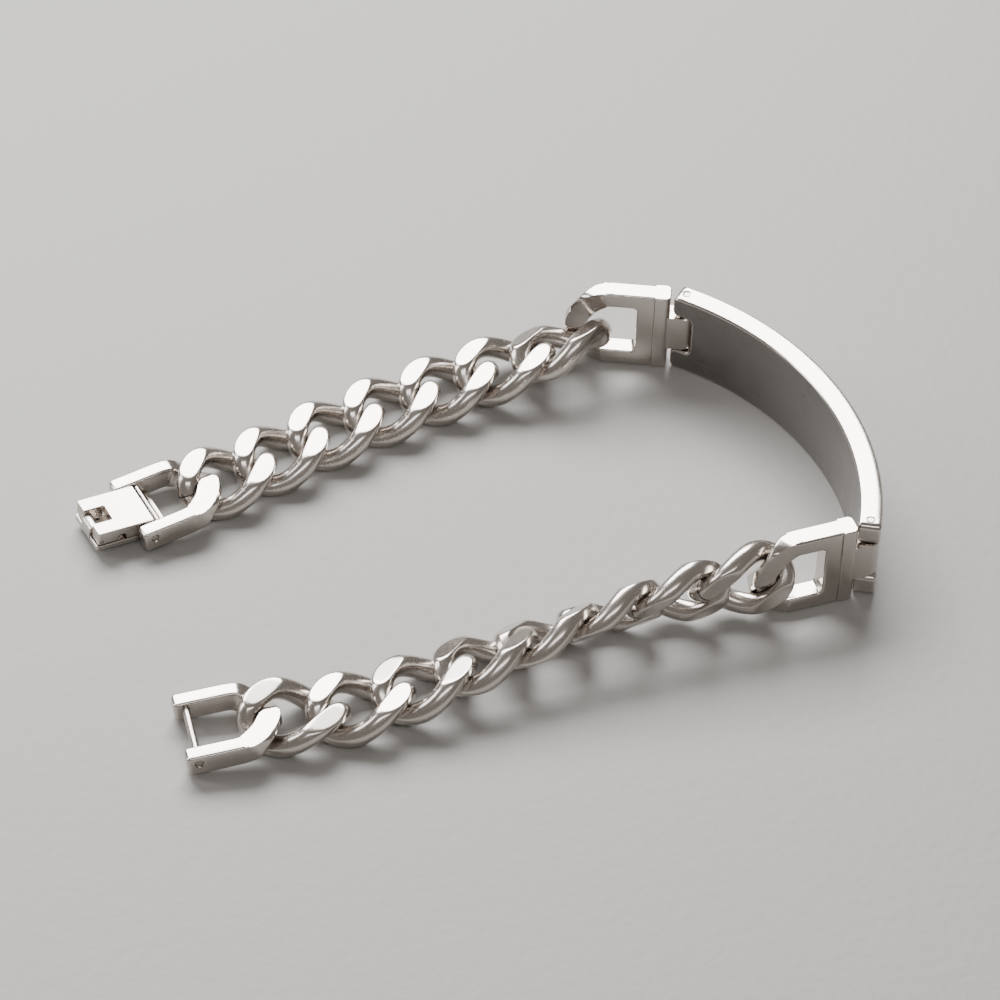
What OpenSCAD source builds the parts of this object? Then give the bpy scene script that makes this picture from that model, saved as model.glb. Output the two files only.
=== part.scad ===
/* [ID plate] */
// Length of the plate along its outer face
plate_len = 50; // [44:0.5:56]
// Height of the plate, between its two long edges
plate_h = 11; // [10:0.1:12]
// Thickness of the plate
plate_t = 2.66; // [2.5:0.02:3]
// Radius of the plate's outer face, bent round the wrist
plate_r = 38.7; // [36:0.1:42]
// Bright bevel along the plate's edges
plate_bevel = 0.25; // [0.1:0.05:0.4]
// Depth of the notch in each end of the plate
notch_depth = 2.7; // [2.6:0.05:3]
// Height of the notch in each end of the plate
notch_h = 5.3; // [5:0.1:6]

/* [Hinge pins] */
// Diameter of the pins through the plate's ends
plate_pin_d = 0.9; // [0.7:0.05:1]
// Distance of a plate pin from the end of the plate
plate_pin_inset = 1.2; // [1.1:0.05:1.4]
// Radial play of a pin in the piece that turns on it
pin_play = 0.05; // [0.02:0.01:0.08]
// Radial play of a pin in the pieces that it is fixed in
pin_fit = 0.01; // [0.01:0.01:0.03]

/* [Connectors] */
// Distance from a connector's pin to the outside of its rounded end
connector_reach = 14.5; // [14:0.1:15]
// Thickness of a connector's frame
connector_t = 2.5; // [2.3:0.05:2.66]
// Width of the raised band next to the plate
band_w = 1.95; // [1.5:0.05:2.2]
// Height of that band over each face of the frame
band_step = 0.1; // [0.05:0.01:0.15]
// Width of the bar that closes the frame, with its band
bar_w = 4; // [3.7:0.1:4.3]
// Width of the frame's two arms
connector_arm = 2.05; // [1.9:0.05:2.1]

/* [Curb links] */
// Diameter of the wire of a link
wire_d = 2.05; // [2:0.05:2.1]
// Half the length of a link, along the middle of its wire
link_a = 5.2; // [5.15:0.05:5.25]
// Half the width of a link, along the middle of its wire
link_b = 3.75; // [3.7:0.05:3.8]
// Turn of each end of a link out of its middle plane
link_twist = 50; // [48:1:52]
// Height of a link, filed flat above and below
link_t = 4.1; // [4:0.05:4.3]
// Play between two links in a stretched chain
link_gap = 0.55; // [0.4:0.05:0.6]

/* [End links] */
// Overall width of an end link
end_w = 10.4; // [10.2:0.1:10.8]
// Thickness of an end link
end_t = 2.75; // [2.7:0.05:2.9]
// Width of its arms
end_arm = 1.95; // [1.8:0.05:2]
// Distance from its pin to the outside of its rounded end
end_reach = 10.2; // [10:0.1:10.4]
// Distance of its pin from the ends of the arms
end_pin_inset = 1.4; // [1.3:0.05:1.5]
// Height of its pin over the middle of the arms
end_pin_rise = 0.35; // [0.3:0.05:0.4]
// Diameter of its pin
end_pin_d = 0.9; // [0.8:0.05:1]

/* [Frames] */
// Length of the rounded end of connectors and end links
loop_len = 3.4; // [3.2:0.1:3.6]
// Turn of that end out of an end link's plane
end_twist = 40; // [36:1:42]
// Turn of that end out of a connector's plane
connector_twist = 40; // [36:1:42]
// Diameter of the wire at that end
loop_wire = 2.2; // [2:0.05:2.3]
// Extra width of that wire at the two corners of the bend
loop_full = 0.2; // [0:0.05:0.3]

/* [Clasp] */
// Length of the clasp's block
block_len = 7; // [6.8:0.1:7.2]
// Width of the block
block_w = 6.3; // [6:0.05:6.35]
// Thickness of the block
block_t = 1.76; // [1.7:0.02:1.9]
// Distance of the block's free end from its pin
block_reach = 6.3; // [6.1:0.1:6.4]
// Width of the notch in the block's free end
slot_w = 2.45; // [2.3:0.05:2.6]
// Depth of that notch
slot_len = 2.55; // [2.4:0.05:2.7]
// Radius of the groove that takes the catch pin
groove_r = 0.6; // [0.55:0.05:0.65]
// Distance of the groove from the block's free end
groove_place = 3; // [2.9:0.1:3.2]
// Thickness of the leaf under the block
leaf_t = 0.85; // [0.8:0.05:0.9]
// Width of the leaf
leaf_w = 6.2; // [6:0.05:6.3]
// Distance from the clasp's pin to the tip of the leaf
leaf_tip = 2.4; // [2.2:0.1:2.5]
// Length of the leaf beyond the block's free end
leaf_overhang = 0.2; // [0.1:0.05:0.3]
// Distance of the snap ridge from the clasp's pin
ridge_place = 1.2; // [1.15:0.05:1.3]
// Thickness of the snap ridge
ridge_t = 0.5; // [0.4:0.05:0.6]
// Distance of the leaf's hinge from the block's free end
leaf_hinge_inset = 0.43; // [0.4:0.01:0.45]
// Diameter of the leaf's hinge pin
leaf_pin_d = 0.5; // [0.4:0.05:0.5]

/* [How it lies] */
// Direction of the middle of the plate, seen from the centre of its arc
plate_turn = 29.5; // [28:0.5:31]
// Heading of the connector on the clasp's side
clasp_side_heading = -3; // [-4:0.5:-2]
// Heading of the connector on the catch's side
catch_side_heading = 21.5; // [20:0.5:23]
// Slope of the clasp, whose free end stands a little higher than its pin
clasp_rise = -3.5; // [-4:0.1:-3]
// Where the arc's centre is, to the right of the origin
arc_x = 8.05; // [7.55:0.05:8.55]
// Where the arc's centre is, behind the origin
arc_y = 1.39; // [0.89:0.05:1.89]

/* [Hidden] */
$fn = 48;
steel = [0.78, 0.77, 0.75];
polished = [0.86, 0.85, 0.83];
satin = [0.6, 0.6, 0.6];
eps = 0.01;

// How the links lie, from each connector outward: heading, height of the middle,
// roll with the front side up, slack toward the link before
clasp_side_rows = [
    [20.5, 4.45, 24, 0],
    [20.5, 3.1, 3, 0.55],
    [27.5, 2.3, 1.5, 0.5],
    [33.5, 2.12, 0, 0],
    [35.5, 2.1, 0, 0],
    [38.5, 2.12, 0, 0.1],
    [35.5, 2.32, -4.5, 0.1],
];
catch_side_rows = [
    [18.8, 5.75, 86, 0],
    [17, 5.4, 68, 0],
    [22.5, 4.7, 54, 0],
    [27, 3.95, 40, 0],
    [28, 3.35, 25.5, 0],
    [28, 2.7, 11.5, 0],
    [23, 2.22, 2, 0],
    [11, 2.34, -4.5, 0],
];
function row_heading(row) = row[0];
function row_height(row) = row[1];
function row_roll(row) = row[2];
function row_slack(row) = row[3];

// How the two end links lie: heading, height of the middle at the pin, rise toward the chain
clasp_end_row = [29, 1.75, 5.5];
catch_end_row = [14.5, 1.8, 6];
function end_heading(row) = row[0];
function end_height(row) = row[1];
function end_rise(row) = row[2];

// Vectors and small helpers
function along(heading, rise) = [cos(rise) * cos(heading), cos(rise) * sin(heading), sin(rise)];
function unit(v) = v / norm(v);
function clip(v, limit) = min(max(v, -limit), limit);
function arc_degrees(length, radius) = length / radius * 180 / PI;

// Plate: an arc standing on its long edge
plate_mid_r = plate_r - plate_t / 2;
plate_span = arc_degrees(plate_len, plate_r);
pin_angle = plate_span / 2 - arc_degrees(plate_pin_inset, plate_mid_r);
function on_plate(angle) = [arc_x + plate_mid_r * cos(angle), arc_y + plate_mid_r * sin(angle), 0];
clasp_side_pin = on_plate(plate_turn + pin_angle);
catch_side_pin = on_plate(plate_turn - pin_angle);
notch_corner = 0.7;
lobe_corner = 0.7;

// Connector: its pin is at the origin and its bar begins next to the plate's end
bar_gap = 0.65;
bar_from = plate_pin_inset + bar_gap;
knuckle_h = notch_h - 0.4;

// Where each strand's first link passes through its connector, from the connector's pin: distance along,
// distance behind, height
clasp_side_hook = [9.95, -1.9, 6];
catch_side_hook = [10.42, -0.1, 5.8];
function hook_reach(row) = row[0];
function hook_behind(row) = row[1];
function hook_height(row) = row[2];
function hook_at(pin, heading, row) =
    let(p = pin - hook_reach(row) * along(heading, 0) + hook_behind(row) * along(heading + 90, 0))
    [p.x, p.y, hook_height(row)];

// Chain: each link pulls on the next, from the connector's window to the end link's rounded end
half_pitch = link_a - wire_d / 2 - link_gap / 2;
end_pull = half_pitch - loop_wire / 2 - link_gap / 2;
end_wire = end_reach - loop_wire / 2;
function end_wire_height(row) = end_height(row) + end_wire * sin(end_rise(row));

// Rise of each link, from the heights on its two sides, one of which is a frame's wire at the chain's ends
end_steps = 1.7;
function link_rises(rows, first_h, last_h) =
    let(last = len(rows) - 1)
    [for (i = [0:last])
        let(before = i == 0 ? first_h : row_height(rows[i - 1]),
            after = i == last ? last_h : row_height(rows[i + 1]),
            steps = i == 0 || i == last ? end_steps : 2)
        asin((before - after) / (steps * 2 * half_pitch))];

// Direction of each link, and then the middle of each link
function link_dirs(rows, rises) = [for (i = [0:len(rows) - 1]) along(row_heading(rows[i]), rises[i])];
function pull(row) = half_pitch - row_slack(row) / 2;
function link_middles(rows, dirs, hook) =
    [for (i = 0, p = hook - link_a * dirs[0];
          i < len(rows);
          p = i + 1 < len(rows) ? p - pull(rows[i + 1]) * (dirs[i] + dirs[i + 1]) : p, i = i + 1)
        [p.x, p.y, row_height(rows[i])]];
function end_middle(last_middle, last_dir, row) =
    let(p = last_middle - end_pull * last_dir - end_wire * along(end_heading(row), end_rise(row)))
    [p.x, p.y, end_height(row)];

clasp_side_rises = link_rises(clasp_side_rows, hook_height(clasp_side_hook), end_wire_height(clasp_end_row));
catch_side_rises = link_rises(catch_side_rows, hook_height(catch_side_hook), end_wire_height(catch_end_row));
clasp_side_dirs = link_dirs(clasp_side_rows, clasp_side_rises);
catch_side_dirs = link_dirs(catch_side_rows, catch_side_rises);
clasp_side_middles = link_middles(clasp_side_rows, clasp_side_dirs,
                                  hook_at(clasp_side_pin, clasp_side_heading, clasp_side_hook));
catch_side_middles = link_middles(catch_side_rows, catch_side_dirs,
                                  hook_at(catch_side_pin, catch_side_heading, catch_side_hook));
clasp_last = len(clasp_side_rows) - 1;
catch_last = len(catch_side_rows) - 1;
clasp_end_at = end_middle(clasp_side_middles[clasp_last], clasp_side_dirs[clasp_last], clasp_end_row);
catch_end_at = end_middle(catch_side_middles[catch_last], catch_side_dirs[catch_last], catch_end_row);

// Clasp: its pin is at the origin and its free end at -X
block_top = end_t / 2 - end_pin_rise;
block_bottom = block_top - block_t;
groove_depth = 0.9;
groove_x = groove_place - block_reach;
leaf_gap = 0.08;
leaf_top = block_bottom - leaf_gap;
leaf_hinge_x = leaf_hinge_inset - block_reach;
leaf_hinge_z = block_bottom + leaf_hinge_inset - eps;
leaf_knuckle_r = leaf_hinge_inset + leaf_overhang;
leaf_knuckle_w = slot_w - 0.2;
ridge_top = block_top - 0.15;
rod_recess = 0.05;

// Faceted sweeps
link_stations = 16;
link_sides = 6;
loop_step = 15;
frame_corner = 0.25;

// A curb ring: an oval whose two ends turn opposite ways out of its plane
function curb_turn(t, twist) = -twist * cos(t);
function curb_point(t, a, b, twist) =
    let(f = curb_turn(t, twist)) [a * cos(t), b * sin(t) * cos(f), b * sin(t) * sin(f)];
function curb_dir(t, a, b, twist) = unit(curb_point(t + 1, a, b, twist) - curb_point(t - 1, a, b, twist));
function curb_up(t, twist) = let(f = curb_turn(t, twist)) [0, -sin(f), cos(f)];

// One cross-section round a point of a path, filed flat at both sides and above and below
function section(p, dir, up, shape, half_w, half_h) =
    let(side = unit(cross(dir, up)), top = cross(side, dir))
    [for (s = shape) let(q = p + s.x * side + s.y * top) [q.x, clip(q.y, half_w), clip(q.z, half_h)]];

module skin(sections, closed) {
    n = len(sections);
    m = len(sections[0]);
    last = closed ? n - 1 : n - 2;
    sides = [for (i = [0:last], k = [0:m - 1])
        let(j = (i + 1) % n, l = (k + 1) % m)
        each [[i * m + k, j * m + l, j * m + k], [i * m + k, i * m + l, j * m + l]]];
    caps = closed ? [] : [[for (k = [m - 1:-1:0]) k], [for (k = [0:m - 1]) (n - 1) * m + k]];
    polyhedron([for (s = sections) each s], concat(sides, caps));
}

module curb_link() {
    wire = [for (k = [0:link_sides - 1]) let(a = 360 * k / link_sides) wire_d / 2 * [cos(a), sin(a)]];
    sections = [for (i = [0:link_stations - 1])
        let(t = i * 360 / link_stations)
        section(curb_point(t, link_a, link_b, link_twist), curb_dir(t, link_a, link_b, link_twist),
                curb_up(t, link_twist), wire, link_b + wire_d, link_t / 2)];
    skin(sections, true);
}

// Two straight arms and half a curb ring between them, lying flat with the rounded end at +X
function bar_shape(half_w, half_h) = [
    [half_w, half_h - frame_corner], [half_w - frame_corner, half_h],
    [frame_corner - half_w, half_h], [-half_w, half_h - frame_corner],
    [-half_w, frame_corner - half_h], [frame_corner - half_w, -half_h],
    [half_w - frame_corner, -half_h], [half_w, frame_corner - half_h]];
module frame(arm_from, reach, width, arm, thick, twist) {
    middle_w = (width - arm) / 2;
    bend_at = reach - loop_wire / 2 - loop_len;
    function arm_end(x, side) =
        section([x, side * middle_w, 0], [-side, 0, 0], [0, 0, 1], bar_shape(arm / 2, thick / 2),
                width / 2, thick / 2);
    loop = [for (t = [loop_step - 90:loop_step:90 - loop_step])
        section(curb_point(t, loop_len, middle_w, twist) + [bend_at, 0, 0],
                curb_dir(t, loop_len, middle_w, twist), curb_up(t, twist),
                bar_shape(loop_wire / 2 + loop_full * abs(sin(2 * t)), loop_wire / 2),
                width / 2, thick / 2)];
    skin(concat([arm_end(arm_from, -1), arm_end(bend_at, -1)], loop,
                [arm_end(bend_at, 1), arm_end(arm_from, 1)]), false);
}

module lay(middle, heading, rise, roll) translate(middle) rotate([-roll, -rise, heading]) children();

module cross_rod(length, diameter) rotate([90, 0, 0]) cylinder(h = length, d = diameter, center = true);

// A rectangle that begins at x = 0, with the two corners at its far end rounded
module rounded_end(length, height, corner) {
    square([length - corner, height]);
    translate([0, corner]) square([length, height - 2 * corner]);
    for (y = [corner, height - corner]) translate([length - corner, y]) circle(corner);
}

// What is cut from one end of the plate, seen along its radius: the end's middle is at x = 0
module plate_end_cut() {
    lobe_h = (plate_h - notch_h) / 2;
    difference() {
        translate([-notch_depth, -1]) square([notch_depth + 1, plate_h + 2]);
        for (z = [0, plate_h - lobe_h])
            translate([-notch_depth, z]) rounded_end(notch_depth, lobe_h, lobe_corner);
        translate([-notch_depth, -1]) square([notch_corner, plate_h + 2]);
    }
    translate([0, lobe_h]) mirror([1, 0]) rounded_end(notch_depth, notch_h, notch_corner);
}

module plate_profile()
    translate([plate_r - plate_t, 0]) polygon([
        [plate_bevel, 0], [plate_t - plate_bevel, 0],
        [plate_t, plate_bevel], [plate_t, plate_h - plate_bevel],
        [plate_t - plate_bevel, plate_h], [plate_bevel, plate_h],
        [0, plate_h - plate_bevel], [0, plate_bevel]]);

module plate() color(satin) translate([arc_x, arc_y, 0]) rotate([0, 0, plate_turn]) difference() {
    rotate([0, 0, -plate_span / 2]) rotate_extrude(angle = plate_span, $fn = 180) plate_profile();
    for (side = [0, 1]) mirror([0, side, 0]) {
        rotate([0, 0, plate_span / 2]) translate([plate_mid_r, 0, 0]) rotate([90, 0, 90])
            linear_extrude(2 * plate_t, center = true) plate_end_cut();
        rotate([0, 0, pin_angle]) translate([plate_mid_r, 0, -1])
            cylinder(h = plate_h + 2, d = plate_pin_d + 2 * pin_fit);
    }
}

module plate_pin(pin) color(steel)
    translate([pin.x, pin.y, rod_recess]) cylinder(h = plate_h - 2 * rod_recess, d = plate_pin_d);

module connector_shape() {
    half_w = plate_h / 2;
    difference() {
        union() {
            rotate([0, 0, 180])
                frame(bar_from + bar_w / 2, connector_reach, plate_h, connector_arm, connector_t,
                      connector_twist);
            translate([-bar_from - bar_w, -half_w, -connector_t / 2]) cube([bar_w, plate_h, connector_t]);
            translate([-bar_from - band_w, -half_w, -connector_t / 2 - band_step])
                cube([band_w, plate_h, connector_t + 2 * band_step]);
            translate([-bar_from - eps, -knuckle_h / 2, -connector_t / 2])
                cube([bar_from + eps, knuckle_h, connector_t]);
            cross_rod(knuckle_h, connector_t);
        }
        cross_rod(plate_h, plate_pin_d + 2 * pin_play);
    }
}
module connector(pin, heading) color(polished)
    translate([pin.x, pin.y, plate_h / 2]) rotate([-90, 0, heading]) connector_shape();

module clasp_side_link(i) color(steel)
    lay(clasp_side_middles[i], row_heading(clasp_side_rows[i]), clasp_side_rises[i],
        row_roll(clasp_side_rows[i])) curb_link();
module catch_side_link(i) color(steel)
    lay(catch_side_middles[i], row_heading(catch_side_rows[i]), catch_side_rises[i],
        row_roll(catch_side_rows[i])) curb_link();

module end_link() color(polished) difference() {
    frame(-end_pin_inset, end_reach, end_w, end_arm, end_t, end_twist);
    translate([0, 0, end_pin_rise]) cross_rod(end_w + 1, end_pin_d + 2 * pin_fit);
}
module end_pin() color(steel) translate([0, 0, end_pin_rise]) cross_rod(end_w - 2 * rod_recess, end_pin_d);
module lay_end(at, row) lay(at, end_heading(row), end_rise(row), 0) children();

// The clasp turns on its pin and lies at a slope of its own
module lay_clasp() lay_end(clasp_end_at, clasp_end_row)
    translate([0, 0, end_pin_rise]) rotate([0, end_rise(clasp_end_row) - clasp_rise, 0]) children();

module clasp_block() color(polished) difference() {
    translate([-block_reach, -block_w / 2, block_bottom]) cube([block_len, block_w, block_t]);
    translate([-block_reach - 1, -slot_w / 2, block_bottom - 1]) cube([slot_len + 1, slot_w, block_t + 2]);
    translate([groove_x, 0, block_bottom + groove_depth - groove_r]) cross_rod(block_w + 2, 2 * groove_r);
    translate([groove_x - groove_r, -block_w / 2 - 1, block_bottom - 1])
        cube([2 * groove_r, block_w + 2, groove_depth - groove_r + 1]);
    difference() {
        translate([-block_reach - 1, -block_w / 2 - 1, block_bottom - 1])
            cube([leaf_hinge_inset + 1, block_w + 2, leaf_hinge_z - block_bottom + 1]);
        translate([leaf_hinge_x, 0, leaf_hinge_z]) cross_rod(block_w + 3, 2 * leaf_hinge_inset);
    }
    translate([leaf_hinge_x, 0, leaf_hinge_z]) cross_rod(block_w + 2, leaf_pin_d + 2 * pin_fit);
    cross_rod(block_w + 2, end_pin_d + 2 * pin_play);
}

module clasp_leaf() color(steel) difference() {
    union() {
        translate([-block_reach - leaf_overhang, -leaf_w / 2, leaf_top - leaf_t])
            cube([block_reach + leaf_overhang + leaf_tip, leaf_w, leaf_t]);
        translate([leaf_hinge_x, 0, leaf_hinge_z]) cross_rod(leaf_knuckle_w, 2 * leaf_knuckle_r);
        translate([leaf_hinge_x - leaf_knuckle_r, -leaf_knuckle_w / 2, leaf_top - eps])
            cube([2 * leaf_knuckle_r, leaf_knuckle_w, leaf_hinge_z - leaf_top + eps]);
        translate([ridge_place - ridge_t / 2, -leaf_w / 2, leaf_top - eps])
            cube([ridge_t, leaf_w, ridge_top - ridge_t / 2 - leaf_top + eps]);
        translate([ridge_place, 0, ridge_top - ridge_t / 2]) cross_rod(leaf_w, ridge_t);
    }
    translate([leaf_hinge_x, 0, leaf_hinge_z]) cross_rod(leaf_w, leaf_pin_d + 2 * pin_play);
}
module leaf_pin() color(steel) translate([leaf_hinge_x, 0, leaf_hinge_z])
    cross_rod(block_w - 2 * rod_recess, leaf_pin_d);

plate();
plate_pin(clasp_side_pin);  // clasp_side_plate_pin
plate_pin(catch_side_pin);  // catch_side_plate_pin
connector(clasp_side_pin, clasp_side_heading);  // clasp_side_connector
connector(catch_side_pin, catch_side_heading);  // catch_side_connector
for (i = [0:clasp_last]) clasp_side_link(i);
for (i = [0:catch_last]) catch_side_link(i);
lay_end(clasp_end_at, clasp_end_row) end_link();  // clasp_end_link
lay_end(clasp_end_at, clasp_end_row) end_pin();  // clasp_pin
lay_end(catch_end_at, catch_end_row) end_link();  // catch_end_link
lay_end(catch_end_at, catch_end_row) end_pin();  // catch_pin
lay_clasp() clasp_block();
lay_clasp() clasp_leaf();
lay_clasp() leaf_pin();
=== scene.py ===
import math
from collections import namedtuple

import bmesh
import bpy
from mathutils import Euler, Matrix, Vector


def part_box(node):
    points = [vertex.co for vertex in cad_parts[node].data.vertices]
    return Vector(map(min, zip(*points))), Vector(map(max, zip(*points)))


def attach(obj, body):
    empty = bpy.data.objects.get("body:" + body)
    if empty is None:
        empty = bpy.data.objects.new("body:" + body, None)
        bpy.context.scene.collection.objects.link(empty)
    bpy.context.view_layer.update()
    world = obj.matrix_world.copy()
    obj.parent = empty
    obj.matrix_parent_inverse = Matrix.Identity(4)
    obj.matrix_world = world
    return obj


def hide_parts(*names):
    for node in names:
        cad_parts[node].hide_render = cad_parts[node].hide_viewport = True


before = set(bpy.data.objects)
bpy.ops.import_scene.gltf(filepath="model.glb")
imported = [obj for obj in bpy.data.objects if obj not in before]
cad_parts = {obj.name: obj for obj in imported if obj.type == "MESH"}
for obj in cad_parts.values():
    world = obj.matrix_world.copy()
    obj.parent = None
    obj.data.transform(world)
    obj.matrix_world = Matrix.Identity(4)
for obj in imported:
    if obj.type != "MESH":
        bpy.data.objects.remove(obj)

bl_info = {
    "name": "Identity bracelet",
    "version": (1, 0, 0),
    "blender": (4, 5, 0),
    "location": "3D View > Sidebar > Bracelet",
    "description": "Dresses an open curb link identity bracelet in steel",
    "category": "Object",
}

MM = 0.001

# How the links lie, as in the solids, from each connector outward: heading, height of the middle,
# roll with the front side up and slack toward the link before, in degrees and millimetres
Row = namedtuple("Row", "heading height roll slack")
CLASP_SIDE_ROWS = [
    Row(20.5, 4.45, 24, 0), Row(20.5, 3.1, 3, 0.55), Row(27.5, 2.3, 1.5, 0.5),
    Row(33.5, 2.12, 0, 0), Row(35.5, 2.1, 0, 0), Row(38.5, 2.12, 0, 0.1),
    Row(35.5, 2.32, -4.5, 0.1),
]
CATCH_SIDE_ROWS = [
    Row(18.8, 5.75, 86, 0), Row(17, 5.4, 68, 0), Row(22.5, 4.7, 54, 0), Row(27, 3.95, 40, 0),
    Row(28, 3.35, 25.5, 0), Row(28, 2.7, 11.5, 0), Row(23, 2.22, 2, 0), Row(11, 2.34, -4.5, 0),
]
# The same of an end link at its pin, with its rise toward the chain
End = namedtuple("End", "heading height rise")
CLASP_END = End(29, 1.75, 5.5)
CATCH_END = End(14.5, 1.8, 6)
# Where a strand's first link passes through its connector, from the connector's pin
Hook = namedtuple("Hook", "reach behind height")
CLASP_SIDE_HOOK = Hook(9.95, -1.9, 6)
CATCH_SIDE_HOOK = Hook(10.42, -0.1, 5.8)
CLASP_SIDE_HEADING = -3
CATCH_SIDE_HEADING = 21.5
CLASP_RISE = -3.5
# Of two neighbours of a strand's first or last link, how many links apart they count as
END_STEP = 1.7
# The middle of the plate's arc, and the direction of the plate's middle from there
ARC_CENTRE = Vector((8.05, 1.39, 0))
PLATE_TURN = 29.5

# Sizes in millimetres and degrees, as in the solids where they have them. A piece on a pin is
# measured from that pin.
PLATE = {
    "length": 50, "height": 11, "thick": 2.66, "radius": 38.7, "pin_inset": 1.2,
    "notch_depth": 2.7, "notch_height": 5.3, "corner": 0.7, "pin_chamfer": 0.1,
}
# The bar lies next to the plate, with a raised band on it that the body reaches into by band_lap
CONNECTOR = {
    "reach": 14.5, "thick": 2.5, "arm": 2.05, "twist": 40, "window_corner": 0.6, "loop_lap": 1.2,
    "bar_from": 1.85, "bar": 4.0, "band": 1.95, "step": 0.1, "band_lap": 0.9,
    "band_corner": 0.15, "back_corner": 0.7, "knuckle": 4.9, "tab_lap": 0.9,
    "groove": 0.26, "groove_lap": 0.1, "groove_deep": 0.16,
}
END_LINK = {
    "reach": 10.2, "width": 10.4, "thick": 2.75, "arm": 1.95, "inset": 1.4, "pin_rise": 0.35,
    "twist": 40, "cap": 0.5,
}
CLASP = {
    "long": 7.0, "wide": 6.3, "thick": 1.76, "reach": 6.3, "top": 1.025, "bore": 1.0,
    "free_corner": 0.2, "corner": 0.15, "slot_wide": 2.45, "slot_long": 2.55, "slot_corner": 0.12,
    "groove_r": 0.6, "groove_x": -3.3, "groove_deep": 0.9,
}
LEAF = {
    "thick": 0.73, "wide": 6.2, "tip": 2.75, "overhang": 0.2, "gap": 0.2, "corner": 0.25,
    "hinge_inset": 0.43, "hinge_drop": 0.01, "pin": 0.5, "block_bore": 0.52, "bore": 0.6,
    "knuckle_r": 0.72, "knuckle_play": 0.1, "chamfer": 0.06,
    "ridge_x": 1.2, "ridge_thick": 0.5, "ridge_high": 0.55, "ridge_top": 0.62,
    "lip": 0.55, "lip_high": 0.3, "lip_corner": 0.2,
}
# A link: the solids' wire, half its length along the wire's middle, and the play between two links
CAD_WIRE = 2.05
LINK_A = 5.2
LINK_GAP = 0.55
# The rounded end of connectors and end links: its wire, its length, and the extra half width at its
# corners
LOOP_WIRE = 2.2
LOOP_LONG = 3.4
LOOP_FULL = 0.2
# How a frame's path is drawn: steps in degrees round the loop and in millimetres along the arms,
# the degrees in which the arms' section turns into the loop's, both sections' corners, and how
# often the path is eased
LOOP_STEP = 3
ARM_STEP = 0.3
BLEND_OVER = 40
ARM_CORNER = 0.32
LOOP_CORNER = 0.55
EASE_ROUNDS = 14
# Pins, their bores, how deep the pins' ends lie, and the cut that sinks a bore's mouth: its length,
# half of it in the metal, and its diameter
PIN_D = 0.9
BORE_D = 0.96
RECESS = 0.05
MOUTH = (0.24, 1.2)
# Cutters reach this far past what they cut
PAST = 1
# The least height of a link's surface over what the bracelet lies on
LEAST_HEIGHT = 0.01
# How far parts that are joined reach into each other
LAP = 0.3
# Faces that would lie in one plane are set this far apart, so that a union stays clean
APART = 0.012
# Points nearer than this are one
WELD = 0.002


def linear(text):
    """The linear colour of an sRGB hex value such as "#C0BCB6"."""
    parts = [int(text[i:i + 2], 16) / 255 for i in (1, 3, 5)]
    return tuple(c / 12.92 if c <= 0.04045 else ((c + 0.055) / 1.055) ** 2.4 for c in parts)


# Where things lie, worked out from the tables as in the solids
def along(heading, rise=0):
    h, r = math.radians(heading), math.radians(rise)
    return Vector((math.cos(r) * math.cos(h), math.cos(r) * math.sin(h), math.sin(r)))


def plate_mid_r():
    return PLATE["radius"] - PLATE["thick"] / 2


def plate_pin(side):
    """Where a pin through the plate stands: side is 1 at the clasp's end, -1 at the catch's."""
    span = math.degrees(PLATE["length"] / PLATE["radius"])
    angle = span / 2 - math.degrees(PLATE["pin_inset"] / plate_mid_r())
    return ARC_CENTRE + plate_mid_r() * along(PLATE_TURN + side * angle)


def lay(middle, heading, rise=0.0, roll=0.0):
    """The place of a piece drawn flat along X: turned, its front end raised, its side rolled."""
    turn = Euler([math.radians(a) for a in (-roll, -rise, heading)]).to_matrix().to_4x4()
    return Matrix.Translation(middle) @ turn


def strand(rows, pin, heading, hook, end):
    """The places of a strand's links and of its end link, each link pulling on the next."""
    half_pitch = LINK_A - CAD_WIRE / 2 - LINK_GAP / 2
    end_pull = half_pitch - LOOP_WIRE / 2 - LINK_GAP / 2
    end_wire = END_LINK["reach"] - LOOP_WIRE / 2
    start = pin - hook.reach * along(heading) + hook.behind * along(heading + 90)
    start.z = hook.height
    end_wire_height = end.height + end_wire * along(0, end.rise).z
    heights = [hook.height, *(r.height for r in rows), end_wire_height]
    steps = [END_STEP, *([2] * (len(rows) - 2)), END_STEP]
    rises = [math.degrees(math.asin((a - b) / (n * 2 * half_pitch)))
             for a, b, n in zip(heights, heights[2:], steps)]
    ways = [along(r.heading, rise) for r, rise in zip(rows, rises)]
    places, p = [], start - LINK_A * ways[0]
    for i, (row, rise, way) in enumerate(zip(rows, rises, ways)):
        if i:
            p = p - (half_pitch - row.slack / 2) * (ways[i - 1] + way)
        places.append(lay(Vector((p.x, p.y, row.height)), row.heading, rise, row.roll))
    last = Vector((p.x, p.y, rows[-1].height))
    at = last - end_pull * ways[-1] - end_wire * along(end.heading, end.rise)
    return places, lay(Vector((at.x, at.y, end.height)), end.heading, end.rise)


CLASP_PIN = plate_pin(1)
CATCH_PIN = plate_pin(-1)
CLASP_LINKS, CLASP_END_PLACE = strand(
    CLASP_SIDE_ROWS, CLASP_PIN, CLASP_SIDE_HEADING, CLASP_SIDE_HOOK, CLASP_END)
CATCH_LINKS, CATCH_END_PLACE = strand(
    CATCH_SIDE_ROWS, CATCH_PIN, CATCH_SIDE_HEADING, CATCH_SIDE_HOOK, CATCH_END)
# Turns what is drawn along Y upright
UPRIGHT = Euler((math.radians(-90), 0, 0)).to_matrix().to_4x4()
HALF_UP = Vector((0, 0, PLATE["height"] / 2))
CLASP_SIDE_PLACE = lay(CLASP_PIN + HALF_UP, CLASP_SIDE_HEADING) @ UPRIGHT
CATCH_SIDE_PLACE = lay(CATCH_PIN + HALF_UP, CATCH_SIDE_HEADING) @ UPRIGHT


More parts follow.
